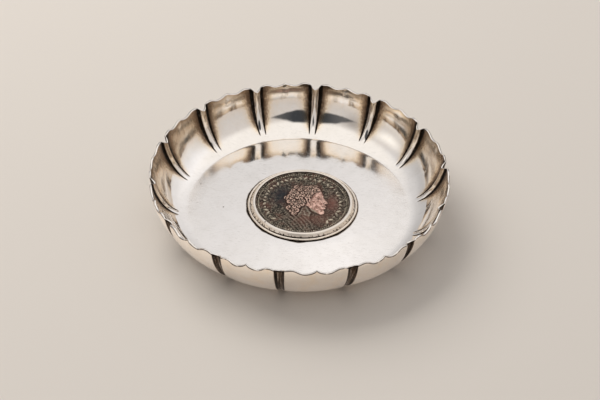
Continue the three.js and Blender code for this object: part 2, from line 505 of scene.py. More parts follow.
# How far the sheet is pushed in from that curve, by its thickness, flutes, creases and hand marks
closing = 1 - wall_place.ramp(size["Flute Foot Place"] + between_flutes(flute_feet), 1)
growth = 1 - closing * closing
flute_width = size["Flute Foot Width"] + (size["Flute Width"] - size["Flute Foot Width"]) * growth
half_flute = flute_width / 2
half_panel = pitch * wall_radius / 2 - half_flute
from_crease = (1 - off_middle) * half_panel - (1 - off_crest) * half_flute
crease_groove = size["Crease Depth"] * growth ** 0.5 * from_crease.bell(0, size["Crease Width"])
below_rim = (rim_place - wall_place).ramp(0, 0.3, 1, 0)
cusp_ridge = size["Cusp Crease"] * below_rim * (off_middle * half_panel).bell(0, size["Cusp Crease Width"])
hand_marks = noise(scaled(ring, wall_radius), 0.09, 1, seed=size["Hand Seed"] + wall_place * 1.6)
wobble = size["Hand Wobble"] * hand_marks * growth
push = (
    size["Sheet Thickness"] * (1 - (side * math.pi).math("COSINE")) / 2
    + size["Flute Depth"] * growth * fold
    - size["Panel Bulge"] * growth * swell
    - crease_groove * side
    + cusp_ridge
    + wobble
)
edge_fullness = 0.6
rounding = (side * math.pi).math("SINE").math("MAXIMUM", 0) ** edge_fullness - 1
crown = rounding * size["Edge Round"] * up_wall
radius = wall_radius - upward * push + outward * crown + floor_radius - size["Land Radius"]
radius = radius.math("MAXIMUM", 0)
level_height = wall_height + outward * push + upward * crown + floor_height
turn = half_flute / radius.math("MAXIMUM", size["Seat Radius"])
by_eye = between_flutes([math.radians(offset) for offset in flute_offsets])
angle = math.pi / 2 + repeat * pitch + across * turn + (along + 1) * (pitch / 2 - turn) + by_eye
place_of_point = point(tree, radius * angle.math("COSINE"), radius * angle.math("SINE"), level_height)

# Measures that the finish follows are kept on the points before they move
weld_distance = 0.002 * MM
dish_measures = {
    "from_crease": from_crease,
    "fold": fold,
    "across": across,
    "up_wall": up_wall,
    "side": side,
    "growth": growth,
    "millimetres_out": radius,
    "below_rim": (1 - up_wall) * wall_length,
}
measured = keep_measures(grid, dish_measures)
moved = place(tree, "GeometryNodeSetPosition", {"Geometry": measured, "Position": scaled(place_of_point, MM)})
closed = place(tree, "GeometryNodeMergeByDistance", {"Geometry": moved, "Distance": weld_distance})
finish_tree(closed, size["Silver"])


def grown_mesh(name, tree, sizes, holder):
    """Gives an object a name and the plain mesh that a geometry tree makes from its own and from sizes"""
    holder.name = name
    modifier = holder.modifiers.new(name, "NODES")
    modifier.node_group = tree
    for item in tree.interface.items_tree:
        if item.name in sizes:
            modifier[item.identifier] = sizes[item.name]
    bpy.context.view_layer.update()
    evaluated = holder.evaluated_get(bpy.context.evaluated_depsgraph_get())
    mesh = bpy.data.meshes.new_from_object(evaluated)
    mesh.name = name
    holder.modifiers.remove(modifier)
    holder.data = mesh
    return holder


# Hand-worn silver: soft stains, fine scratches in six directions, pits, and dark tarnish and painted shade
# where it is told
clean_silver = (0.945, 0.925, 0.91, 1)
stained_silver = (0.91, 0.885, 0.86, 1)
dull_silver = (0.85, 0.825, 0.8, 1)
scratched_silver = (0.6, 0.575, 0.55, 1)
golden_tarnish_and_painted_light = (0.92, 0.78, 0.61, 1)
brown_tarnish_and_painted_light = (0.36, 0.25, 0.16, 1)
brown_dirt_and_shade = (0.14, 0.093, 0.062, 1)
black_dirt_and_shade = (0.016, 0.011, 0.0075, 1)
scratch_turns = {17: 0.1, 48: 1.2, 81: 2.025, 107: 2.675, 136: 3.4, 168: 4.2}  # degrees, and a shift for each
dent_depth = 0.4 * MM
silver_wear_and_shade = bpy.data.node_groups.new("silver_wear_and_shade", "ShaderNodeTree")
wear_inputs = {"Tarnish And Shade": 0, "Warmth": 0, "Satin": 0.1, "Scratches": 1}
for name, start_value in wear_inputs.items():
    entry = silver_wear_and_shade.interface.new_socket(name, in_out="INPUT", socket_type="NodeSocketFloat")
    entry.default_value = start_value
for name, kind in {"Color": "Color", "Roughness": "Float", "Height": "Float"}.items():
    silver_wear_and_shade.interface.new_socket(name, in_out="OUTPUT", socket_type="NodeSocket" + kind)
group_in = silver_wear_and_shade.nodes.new("NodeGroupInput")
wear_and_shade = {name: Field(silver_wear_and_shade, group_in.outputs[name]) for name in wear_inputs}
on_piece = place(silver_wear_and_shade, "ShaderNodeTexCoord", output="Object")


def scratch_layer(vector, turn, shift):
    """Thin broken lines in one direction, 1 on a line and 0 between them"""
    laid = place(vector.tree, "ShaderNodeMapping", {
        "Vector": vector,
        "Rotation": (0, 0, math.radians(turn)),
        "Location": (shift, shift, shift),
        "Scale": (420, 3600, 700),
    })
    return noise(laid, 1, 1).ramp(0.62, 0.74) * noise(vector, 260 + turn, 1).ramp(0.48, 0.6)


layers = [scratch_layer(on_piece, turn, shift) for turn, shift in scratch_turns.items()]
scratches = sum(layers[1:], layers[0]) * wear_and_shade["Scratches"]
stains = noise(on_piece, 55, 4, 0.6)
patches = noise(on_piece, 210, 3, 0.6)
cells = place(silver_wear_and_shade, "ShaderNodeTexVoronoi", {"Vector": on_piece, "Scale": 170, "Randomness": 1})
cell_value = place(silver_wear_and_shade, "ShaderNodeSeparateColor", {0: cells.beside("Color")})
pits = cells.beside("Distance").ramp(0.035, 0.06, 1, 0) * cell_value.ramp(0.8, 0.84)
# The tarnish amount brings painted shade too, laid on in the same dark browns
dirt_and_shade = (wear_and_shade["Tarnish And Shade"] * (0.75 + patches * 0.5)).math("ADD", pits * 0.8, clamp=True)
golden = (wear_and_shade["Warmth"] * (0.45 + stains * 1.1)).math("ADD", 0, clamp=True)
silver_color = coats(
    clean_silver,
    (stains.ramp(0.3, 0.75), stained_silver),
    (patches.ramp(0.45, 0.65) * 0.3, dull_silver),
    (golden.ramp(0, 0.5), golden_tarnish_and_painted_light),
    (golden.ramp(0.4, 1), brown_tarnish_and_painted_light),
    (dirt_and_shade.ramp(0.1, 0.6), brown_dirt_and_shade),
    (dirt_and_shade.ramp(0.5, 1), black_dirt_and_shade),
    (scratches * 0.3, scratched_silver),
)
worn_satin = wear_and_shade["Satin"] * (0.75 + stains * 0.5)
dents = noise(on_piece, 120, 2) * 0.5
fine = noise(on_piece, 900, 2) * 0.015
plug(silver_wear_and_shade.nodes.new("NodeGroupOutput"), {
    "Color": silver_color,
    "Roughness": worn_satin + dirt_and_shade * 0.4 + golden * 0.08 + scratches * 0.12,
    "Height": dents + fine - scratches * 0.012 - pits * 0.2,
})


def coat_with_wear_and_shade(tree, shader, amounts, bump=0.25):
    """Places the worn silver, with any painted shade it is given, in a material, with its amounts by name,
    and joins it to the shader
    """
    group = place(tree, "ShaderNodeGroup", amounts, node_tree=silver_wear_and_shade)
    color, roughness, height = (group.beside(name) for name in ("Color", "Roughness", "Height"))
    raised = place(tree, "ShaderNodeBump", {"Strength": bump, "Distance": dent_depth, "Height": height})
    plug(shader, {"Base Color": color, "Roughness": roughness, "Normal": raised})


def measures(tree, names):
    """Measures kept on the mesh's points, as fields in its material"""
    return [place(tree, "ShaderNodeAttribute", output="Fac", attribute_name=name) for name in names]


dish_material, shading, shader = new_material("dish_silver", {"Metallic": 1})
crease, fold, across, up_wall, side, growth, out, below = measures(shading, dish_measures)
inside = side.ramp(0.55, 0.95)
outside = side.ramp(0.05, 0.45, 1, 0)
on_dish = place(shading, "ShaderNodeTexCoord", output="Object")
x, y, _ = axes_of(scaled(on_dish, 1 / MM))
streaky = place(shading, "ShaderNodeMapping", {"Vector": on_dish, "Scale": (1, 1, 0.12)})
streaks = noise(streaky, 900, 3, 0.65)
uneven = noise(on_dish, 330, 3, 0.6)
torn = noise(on_dish, 1100, 3, 0.7)
blotches = noise(on_dish, 140, 3, 0.6)
patchy = noise(on_dish, 90, 2)

# Inside, each crease holds a dark line with a torn brown edge on the panel's side: tarnish, with painted
# shade and a painted reflection of the dark room. Both are fainter at the front.
wide = 0.25 + growth * 0.75
panel_side = fold.ramp(0, 0.1, 1, 0)
less_in_front = y.ramp(-46, -28, 0.3, 1)
ragged = wide * (0.55 + uneven * 0.8)
crease_line = (crease / ragged).bell(0.1, 1).ramp(0.3, 0.75) * growth.ramp(0, 0.12) * less_in_front
reach = crease.past(0) / wide + (torn - 0.5) * 4
brown_shade_edge = reach.bell(0, 4.2) * growth.ramp(0.05, 0.5) * panel_side * less_in_front
dark_shade_edge = reach.bell(0, 2.8) * growth.ramp(0.05, 0.55) * panel_side * less_in_front

# Outside, each flute is full of dirt, rubbed off in streaks along it
in_flute = fold.ramp(0.02, 0.3) * outside * growth.ramp(0, 0.05)
drawn = point(shading, across * 4.5, up_wall * 2.2)
drift = scaled(on_dish, 60)
flute_place = place(shading, "ShaderNodeVectorMath", {0: drawn, 1: drift})
flute_streaks = noise(flute_place, 1, 4, 0.65)
channel = in_flute * (abs(across).ramp(0.3, 0.85, 0.72, 1.05) + flute_streaks.ramp(0.4, 0.68, 0.2, -0.4))

# The rim's cut edge is bright, with a thin line of painted shade along its outer side, darkest at the back,
# and the wall below it is brown: tarnish, with painted reflection
rim_band = inside * (below / 3.2).bell(0, 1)
rim_outline = inside * below.bell(0.4, 0.3) * uneven.ramp(0.45, 0.62, 0, 1)
back_line = side.ramp(0.38, 0.46, 1, 0) * y.ramp(-10, 25, 0.4, 1)
outer_line = side.ramp(0.04, 0.14, 1, 0).math("MAXIMUM", back_line)
edge_shade = outer_line * below.ramp(0.25, 0.65, 1, 0) * uneven.ramp(0.4, 0.48, 0.45, 1)
cut_edge = abs(side - 0.5).ramp(0.4, 0.48, 1, 0) * below.ramp(0.3, 0.6, 1, 0)

# A thin line of painted shade lies at the foot of the wall, at the back, and dirt with painted contact shade
# lies in the joint round the wire, darkest at the front left
joint_gap = 0.1
foot_shade_line = inside * out.bell(dish_sizes["Land Radius"] + joint_gap, 0.22) * growth.ramp(0, 0.02, 1, 0)
off_coin = ((x - coin_place[0]) ** 2 + (y - coin_place[1]) ** 2).math("SQRT")
joint_width = 0.2 + uneven * 0.3 + patchy.ramp(0.45, 0.7, 0, 0.5)
joint_dirt_and_shade = off_coin.bell(wire_outer_radius + joint_gap, joint_width) * (x + y).ramp(-24, 20, 1.5, 0.6)
# Dark tarnish and dirt, with painted shade in the crease lines and their dark edges, the rim's outer line,
# the foot line and the joint round the wire
tarnish_and_shade = (
    crease_line * inside * 1.1
    + channel
    + dark_shade_edge * inside * 0.72
    + rim_outline * 0.15
    + edge_shade * 0.85
    + foot_shade_line * y.ramp(12, 36) * 0.35
    + joint_dirt_and_shade * inside * 1.2
)
both_sides = up_wall.ramp(0.3, 0.7) * (abs(x).ramp(36, 54, 0, 0.32) + x.ramp(-58, -44, 0.16, 0))
wall_streaks = streaks.ramp(0.35, 0.7, 0, 0.14) * panel_side.ramp(0, 1, 0.6, 1) * less_in_front
# Warmth: tarnish and stains, with painted reflection in the band under the rim and painted shade in the brown
# edges beside the creases; the side walls, the left one most, are warmer high up
warmth = (
    rim_band * (0.1 + panel_side * 0.4) * less_in_front
    + brown_shade_edge * inside * 1.1
    + inside * both_sides
    + outside * (up_wall.ramp(0.45, 0.95, 0.06, 0.2) + blotches.ramp(0.48, 0.72, 0, 0.2))
    + inside * up_wall.ramp(0.15, 0.8) * wall_streaks
    + inside * fold.ramp(0.2, 0.8) * up_wall.ramp(0.6, 0.95, 0, 0.4)
    - cut_edge * 2
)
on_floor = up_wall.ramp(0, 0.05, 1, 0)
floor_satin = abs(x + 3).ramp(26, 42, 0, 0.2) + y.ramp(20, 38, 0, 0.05)
wall_satin = up_wall.ramp(0.5, 0.72, 0, 0.03) + up_wall.ramp(0.15, 0.5) * abs(x).ramp(32, 50, 0, 0.03)
coat_with_wear_and_shade(shading, shader, {
    "Tarnish And Shade": tarnish_and_shade,
    "Warmth": warmth,
    "Satin": 0.055 + outside * 0.05 + inside * wall_satin + on_floor * floor_satin,
    "Scratches": up_wall.ramp(0, 0.3, 1, 0.35),
})

bare = mesh_object("sheet_to_raise", [], [], dish_material)
dish = grown_mesh("silver_dish", tree, {**dish_sizes, "Silver": dish_material}, bare)
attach(dish, "root")
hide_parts("dish_body")


# Coin
# An old copper coin, struck in relief: a head with curled hair, in profile to the right, over a draped
# bust, with a ring of small leaves and pellets where lettering would be, and a beaded border.
coin_radius = 19.6  # this and the sizes below are in millimetres
coin_thickness = 1.6
coin_field_depth = 0.5
coin_border_width = 1.1
coin_back_depth = 0.45
slope_width = 0.45
edge_round = 0.16
head_turn = camera_turn
head_width_scale = 1.05
head_height_scale = 1.2
head_drop = 1

# The outline of the head, neck and bust, drawn by a rule of thirds: from hairline to brow, from brow to
# nose and from nose to chin
head_outline = [
    (2.0, 9.6), (4.3, 9.3), (6.2, 8.3), (7.3, 6.9), (7.9, 5.4), (8.2, 4.3), (8.25, 3.6), (8.8, 2.6),
    (9.6, 1.3), (9.9, 0.7), (9.5, 0.25), (8.8, 0.05), (8.75, -0.3), (9.15, -0.8), (9.05, -1.25),
    (8.7, -1.45), (8.95, -1.9), (8.75, -2.4), (8.35, -2.65), (8.3, -3.1), (8.55, -3.9), (8.25, -4.9),
    (7.3, -5.4), (5.9, -5.2), (4.4, -4.7), (3.3, -4.9), (2.9, -6.4), (3.2, -8.4), (4.3, -10.2), (5.6, -11.6),
    (3.0, -13.1), (-1.0, -14.0), (-5.5, -13.4), (-9.3, -11.2), (-11.2, -8.6), (-9.2, -6.9), (-6.3, -5.7),
    (-4.6, -4.6), (-4.2, -3.0), (-5.2, -1.6), (-6.3, 0.4), (-6.5, 2.8), (-5.8, 5.2), (-4.2, 7.4), (-1.6, 9.0),
]
hair_outline = [
    (3.2, 10.0), (5.6, 9.0), (6.6, 7.6), (5.9, 6.6), (4.4, 5.6), (3.7, 4.0), (2.7, 2.6), (1.9, 0.7),
    (0.7, -0.5), (-0.2, -2.2), (-1.0, -4.3), (-2.4, -6.4), (-4.4, -6.6), (-5.6, -4.4), (-6.4, -1.6),
    (-6.9, 2.4), (-6.2, 6.0), (-3.6, 9.0), (0.0, 10.2),
]
face_mounds = {  # how far each stands out or sinks in, then its place, width, height and turn
    "brow": (0.10, 7.4, 4.2, 1.6, 0.5, 12),
    "eye socket": (-0.18, 6.7, 3.1, 1.3, 0.75, 8),
    "eye": (0.14, 6.75, 3.0, 0.7, 0.42, 6),
    "cheek": (0.06, 5.4, -0.2, 1.9, 1.7),
    "nose": (0.06, 8.9, 0.9, 0.7, 0.9, -30),
    "upper lip": (0.05, 8.3, -0.95, 0.8, 0.32),
    "lower lip": (0.05, 8.2, -1.95, 0.7, 0.35),
    "under the lip": (-0.06, 8.0, -2.75, 0.8, 0.35),
    "chin": (0.06, 7.6, -4.1, 1.0, 0.9),
}
face_lines = {  # how far each stands out or sinks in, then its points and width
    "upper lid": (0.05, [(5.9, 3.35), (6.6, 3.6), (7.4, 3.35)], 0.16),
    "lower lid": (-0.06, [(6.0, 2.6), (6.7, 2.45), (7.3, 2.75)], 0.14),
    "nostril": (-0.10, [(8.5, 0.95), (8.15, 0.55), (8.3, 0.15)], 0.2),
    "mouth": (-0.12, [(8.9, -1.38), (8.1, -1.45), (7.5, -1.3)], 0.17),
    "under the jaw": (-0.16, [(2.0, -1.6), (3.0, -3.6), (4.4, -4.6), (6.4, -5.3)], 0.5),
    "jaw": (0.06, [(2.3, -0.6), (3.6, -2.7), (5.2, -3.7)], 0.7),
}


def off_line(x, y, start, end):
    """Distance to a straight line between two points"""
    (ax, ay), (bx, by) = start, end
    wx, wy = bx - ax, by - ay
    share = np.clip(((x - ax) * wx + (y - ay) * wy) / (wx * wx + wy * wy), 0, 1)
    return np.hypot(x - ax - share * wx, y - ay - share * wy)


def to_outline(x, y, outline):
    """Distance to a closed outline, above nothing inside it and below outside it"""
    nearest = np.full(x.shape, 1e9)
    within = np.zeros(x.shape, bool)
    for start, end in zip(outline, np.roll(outline, -1, axis=0)):
        nearest = np.minimum(nearest, off_line(x, y, start, end))
        (ax, ay), (bx, by) = start, end
        within ^= ((ay > y) != (by > y)) & (x < (bx - ax) * (y - ay) / ((by - ay) or 1e-9) + ax)
    return np.where(within, nearest, -nearest)


def rounded(outline, steps=4):
    """The outline with its corners taken off by a smooth curve through its points"""
    outline = np.array(outline)
    before, after, further = np.roll(outline, 1, 0), np.roll(outline, -1, 0), np.roll(outline, -2, 0)
    pieces = []
    for step in range(steps):
        share = step / steps
        pieces.append(0.5 * (
            2 * outline + (after - before) * share
            + (2 * before - 5 * outline + 4 * after - further) * share * share
            + (3 * outline - before - 3 * after + further) * share ** 3
        ))
    return np.stack(pieces, 1).reshape(-1, 2)


def mound(x, y, cx, cy, wide, high, turn=0):
    """A soft round hill, 1 at its middle"""
    cosine, sine = math.cos(math.radians(turn)), math.sin(math.radians(turn))
    dx, dy = x - cx, y - cy
    return np.exp(-((dx * cosine + dy * sine) / wide) ** 2 - ((dy * cosine - dx * sine) / high) ** 2)


def stroke(x, y, points, width):
    """A soft line through points, 1 along its middle"""
    nearest = np.full(x.shape, 1e9)
    for start, end in zip(points, points[1:]):
        nearest = np.minimum(nearest, off_line(x, y, start, end))
    return np.exp(-(nearest / width) ** 2)


def locks(x, y, hair_line, seed, spacing):
    """Short curled hair: spiral locks in rows, each a low dome, which stand out a little past its line"""
    random = np.random.default_rng(seed)
    height = np.zeros(x.shape)
    for row_number, cy in enumerate(np.arange(-8, 12, spacing * 0.8)):
        for cx in np.arange(-9, 9, spacing) + (row_number % 2) * spacing / 2:
            px, py = cx + random.normal(0, 0.2), cy + random.normal(0, 0.2)
            lock_size = spacing * random.uniform(0.58, 0.7)
            way, phase = random.choice((-1, 1)), random.uniform(0, 6.28)
            if to_outline(np.array([px]), np.array([py]), hair_line)[0] < 0.45:
                continue
            dx, dy = x - px, y - py
            far = np.hypot(dx, dy)
            dome = np.sqrt(np.clip(1 - (far / lock_size) ** 2, 0, 1))
            spiral = np.cos(way * np.arctan2(dy, dx) + phase + far * 5.2) * 0.5 + 0.5
            height = np.maximum(height, dome * (0.5 + 0.5 * spiral))
    return height


def struck_relief(x, y):
    """Height of the head and bust over the field, with the shares that are bare head, hair and dress"""
    x, y = x / head_width_scale, (y + head_drop) / head_height_scale
    from_edge = to_outline(x, y, rounded(head_outline))
    inside_head = from_edge > 0
    depth = np.clip(from_edge, 0, None)
    body = 0.32 * np.sqrt(1 - (1 - np.clip(depth / 2.4, 0, 1)) ** 2) + 0.10 * np.clip(depth / 6.5, 0, 1)
    hair_line = rounded(hair_outline)
    curls = locks(x, y, hair_line, seed=11, spacing=1.9)
    hair = np.clip(to_outline(x, y, hair_line) / 0.4 + 0.6, 0, 1)
    hair = np.maximum(hair * inside_head, np.clip(curls * 3, 0, 1))
    bust = np.clip((-y - 5.6 - 0.16 * x) / 0.9, 0, 1) * inside_head
    skin = (1 - hair) * (1 - bust) * inside_head
    under_jaw = np.clip((0.24 - 0.82 * x - y) / 0.5 + 0.5, 0, 1) * (x < 7.5)
    face = sum(amount * mound(x, y, *shape) for amount, *shape in face_mounds.values())
    face += sum(amount * stroke(x, y, *shape) for amount, *shape in face_lines.values())
    ear_rim = [(2.5, 1.5), (2.9, 2.2), (2.6, 2.8), (1.9, 2.7), (1.6, 1.9), (1.9, 0.8), (2.2, 0.0)]
    ear = 0.15 * stroke(x, y, ear_rim, 0.28) - 0.12 * mound(x, y, 2.2, 1.7, 0.32, 0.62)
    neck = 0.05 * stroke(x, y, [(0.6, -4.2), (1.2, -6.6), (2.6, -9.0)], 0.55)
    folds = np.zeros(x.shape)
    for lean in np.arange(7) * 1.75:
        dress_fold = [(-10.2 + lean, -6.3), (-7.2 + lean * 0.95, -9.3), (-3.2 + lean * 0.75, -14.0)]
        folds += stroke(x, y, dress_fold, 0.36)
    by_ear = mound(x, y, 2.2, 1.5, 0.9, 1.5)
    height = body * (1 - 0.3 * bust) + skin * (face + neck)
    height += (0.34 * curls - 0.06) * hair * (1 - by_ear) + ear * inside_head
    height += bust * (0.08 * np.clip(folds, 0, 1) - 0.03)
    height *= np.maximum(np.clip(from_edge / 0.25, 0, 1), np.clip(curls * 3, 0, 1))
    return np.clip(height, 0, None), skin * (1 - under_jaw), hair, bust


def softened(values, times):
    """The map with each cell run into its neighbours, so many times"""
    for _ in range(times):
        sides = sum(np.roll(values, step, axis) for axis in (0, 1) for step in (1, -1))
        values = (values + sides) / 5
    return values


def net_faces(rows, columns, first=0, closed=False):
    """Faces with four corners, between rings of points from the first one on, back to it if closed"""
    faces = []
    for row_number in range(rows if closed else rows - 1):
        near, far = first + row_number * columns, first + (row_number + 1) % rows * columns
        for step in range(columns):
            following = (step + 1) % columns
            faces.append((near + step, far + step, far + following, near + following))
    return faces


# The relief is worked out on a square map, with how far each place lies above or below what is round it
cell = 0.1
map_line = np.arange(-20, 20 + cell, cell)
relief_map, skin_map, hair_map, bust_map = struck_relief(*np.meshgrid(map_line, map_line))
over_near = relief_map - softened(relief_map, 26)
over_wide = relief_map - softened(relief_map, 160)
maps = {
    "relief": relief_map,
    "hollow": np.clip(-over_near / 0.05 - over_wide / 0.14, 0, 1),
    "crest": np.clip(over_near / 0.05, 0, 1) * (1 - 0.7 * bust_map),
    "bare_head": softened(skin_map, 3),
    "hair": softened(hair_map, 3),
}

angles, field_rings = 560, 140
field_radius = coin_radius - coin_border_width
slope_foot = field_radius - slope_width
ring_radius = np.concatenate([
    np.linspace(0, slope_foot, field_rings)[1:],
    slope_foot + np.array([0.12, 0.25, 0.36, slope_width]),
    [field_radius + 0.25, coin_radius - 0.45, coin_radius - 0.15, coin_radius - 0.03, coin_radius],
])
ring_height = np.interp(
    ring_radius,
    [0, slope_foot, field_radius, field_radius + 0.25, coin_radius - 0.15, coin_radius - 0.03, coin_radius],
    [-coin_field_depth, -coin_field_depth, -0.03, 0, 0, -0.05, -edge_round],
)
upper_rings = len(ring_radius)
ring_radius = np.append(ring_radius, [coin_radius, coin_radius - edge_round, field_radius, slope_foot])
ring_height = np.append(ring_height + coin_thickness, [edge_round, 0, 0, coin_back_depth])
turns = np.linspace(0, 2 * np.pi, angles, endpoint=False)
ring_x = ring_radius[:, None] * np.cos(turns)[None, :]
ring_y = ring_radius[:, None] * np.sin(turns)[None, :]
cosine, sine = math.cos(head_turn), math.sin(head_turn)
map_x = ((ring_x * cosine + ring_y * sine) - map_line[0]) / cell
map_y = ((ring_y * cosine - ring_x * sine) - map_line[0]) / cell
left, low = map_x.astype(int), map_y.astype(int)
right_share, high_share = map_x - left, map_y - low
face_fade = np.clip((field_radius - 0.6 - ring_radius) / 0.6, 0, 1)
on_face = (face_fade * (np.arange(len(ring_radius)) < upper_rings))[:, None]
on_rings = {}
for name, values in maps.items():
    lower_edge = values[low, left] * (1 - right_share) + values[low, left + 1] * right_share
    upper_edge = values[low + 1, left] * (1 - right_share) + values[low + 1, left + 1] * right_share
    on_rings[name] = (lower_edge * (1 - high_share) + upper_edge * high_share) * on_face
relief = on_rings.pop("relief")
heights = ring_height[:, None] + relief
points = [(0, 0, coin_thickness - coin_field_depth + relief[0].mean())]
points += list(np.stack([ring_x, ring_y, heights], -1).reshape(-1, 3))
points.append((0, 0, coin_back_depth))
faces = [(0, 1 + step, 1 + (step + 1) % angles) for step in range(angles)]
faces += net_faces(len(ring_radius), angles, first=1)
last = 1 + (len(ring_radius) - 1) * angles
faces += [(last + (step + 1) % angles, last + step, len(points) - 1) for step in range(angles)]

coin_material, shading, shader = new_material("coin_copper", {"Specular IOR Level": 0.15})
blank = mesh_object("coin_without_marks", (np.array(points) + coin_place) * MM, faces, coin_material)
for name, values in on_rings.items():
    kept = np.concatenate([[values[0].mean()], values.reshape(-1), [0]])
    blank.data.attributes.new(name, "FLOAT", "POINT").data.foreach_set("value", kept.astype(np.float32))

# The marks of its border: beads all the way round, and leaves in pairs with a pellet between them, which
# stop at the bust
mark_sizes = {  # in millimetres
    "Bead Ring": 17.95,
    "Beads": 120,
    "Bead Size": 0.36,
    "Mark Ring": 15.5,
    "Marks": 37,
    "Mark Height": 0.42,
    "Leaf Length": 2.5,
    "Leaf Width": 1.0,
    "Leaf Lean": math.radians(38),
    "Pellet Size": 0.58,
    "First Mark": math.radians(-50),
    "Marks Sweep": math.radians(272),
    "Hand Seed": 3,
}
tree, size = piece_tree("struck_marks", "Copper", mark_sizes)


def spot_shape(tree, length, width, height, segments, points_in=0):
    """A low rounded spot, drawn in to points at its ends by that share"""
    ball = place(tree, "GeometryNodeMeshUVSphere", {"Segments": segments, "Rings": 4, "Radius": 0.5})
    x, y, z = point_axes(tree)
    drawn = point(tree, x * length, y * width * (1 - x * x * 4 * points_in), z * 2 * height)
    return place(tree, "GeometryNodeSetPosition", {"Geometry": ball, "Position": drawn})


def strewn(points, chosen, shape, lean=0):
    """A shape on each chosen point, turned to the circle and leaning off it, in a size varied by hand"""
    x, y, _ = point_axes(points.tree)
    smallest, largest = 0.75, 1.15
    sizes = {"Seed": size["Hand Seed"], 2: smallest, 3: largest}
    return place(points.tree, "GeometryNodeInstanceOnPoints", {
        "Points": points,
        "Selection": chosen,
        "Instance": shape,
        "Rotation": point(points.tree, z=y.math("ARCTAN2", x) + lean),
        "Scale": place(points.tree, "FunctionNodeRandomValue", sizes, 1, data_type="FLOAT"),
    })


def points_along(curve, count):
    """That many points, evenly along a curve"""
    return place(curve.tree, "GeometryNodeCurveToPoints", {"Curve": curve, "Count": count}, mode="COUNT")


def gathered(*parts):
    """Several geometries as one"""
    joined = place(parts[0].tree, "GeometryNodeJoinGeometry")
    for part in parts:
        plug(joined.socket.node, {0: part})
    return joined


circle = place(tree, "GeometryNodeCurvePrimitiveCircle", {"Resolution": 96, "Radius": size["Bead Ring"]})
arc = place(tree, "GeometryNodeCurveArc", {
    "Resolution": 96,
    "Radius": size["Mark Ring"],
    "Start Angle": size["First Mark"],
    "Sweep Angle": size["Marks Sweep"],
})
bead_points = points_along(circle, size["Beads"])
mark_points = points_along(arc, size["Marks"])
order = place(tree, "GeometryNodeInputIndex")
in_three = order.math("MODULO", 3)
is_pellet = in_three.math("GREATER_THAN", 1.5)
is_leaf = 1 - is_pellet
leaf_lean = size["Leaf Lean"] * (in_three * 2 - 1)
bead = spot_shape(tree, size["Bead Size"] * 2, size["Bead Size"] * 2, size["Bead Size"], 6)
pellet = spot_shape(tree, size["Pellet Size"] * 2, size["Pellet Size"] * 2, size["Mark Height"], 8)
leaf = spot_shape(tree, size["Leaf Length"], size["Leaf Width"], size["Mark Height"], 12, points_in=0.8)
marks = gathered(
    strewn(bead_points, True, bead),
    strewn(mark_points, is_pellet, pellet),
    strewn(mark_points, is_leaf, leaf, leaf_lean),
)
loose = place(tree, "GeometryNodeRealizeInstances", {"Geometry": marks})
laid = place(tree, "GeometryNodeTransform", {
    "Geometry": loose,
    "Translation": (Vector(coin_place) + Vector((0, 0, coin_thickness - coin_field_depth))) * MM,
    "Rotation": (0, 0, head_turn),
    "Scale": (MM, MM, MM),
})
marked = keep_measures(laid, {"crest": 1})
finish_tree(gathered(marked, size["Geometry"]), size["Copper"])


def round_coin(tree):
    """Distance from the coin's middle, height over its seat, place on it and its x and y, in millimetres"""
    moved = place(tree, "ShaderNodeMapping", {
        "Vector": place(tree, "ShaderNodeTexCoord", output="Object"),
        "Location": [-number for number in coin_place],
        "Scale": (1 / MM, 1 / MM, 1 / MM),
    })
    x, y, z = axes_of(moved)
    return (x * x + y * y).math("SQRT"), z, moved, x, y


# Old copper: black and olive in the field, with brown and blue-black stains, rubbed pink on the head, and a
# painted shadow under the collar's lip
field_black = (0.006, 0.0055, 0.005, 1)
field_brown = (0.055, 0.041, 0.032, 1)
sandy_grain = (0.4, 0.35, 0.28, 1)
sandy_fleck = (0.46, 0.4, 0.32, 1)
red_brown = (0.12, 0.055, 0.042, 1)
copper_brown = (0.22, 0.11, 0.085, 1)
blue_black = (0.018, 0.022, 0.03, 1)
red_stain = (0.2, 0.09, 0.075, 1)
worn_pale = (0.78, 0.71, 0.58, 1)
pink_copper = (1, 0.68, 0.58, 1)
dull_copper = (0.3, 0.15, 0.115, 1)
hollow_dark = (0.03, 0.015, 0.012, 1)
lip_shadow_color = (0.02, 0.016, 0.013, 1)
pit_depth = 0.1 * MM
from_middle, _, spot, _, _ = round_coin(shading)
upright = place(shading, "ShaderNodeMapping", {"Vector": spot, "Rotation": (0, 0, -head_turn)})
x, y, _ = axes_of(upright)
hollow, crest, bare_head, hair = measures(shading, on_rings)


def stain(cx, cy, wide, high):
    """A soft round stain on the coin"""
    off = ((x - cx) / wide) ** 2 + ((y - cy) / high) ** 2
    return (-off).math("EXPONENT")


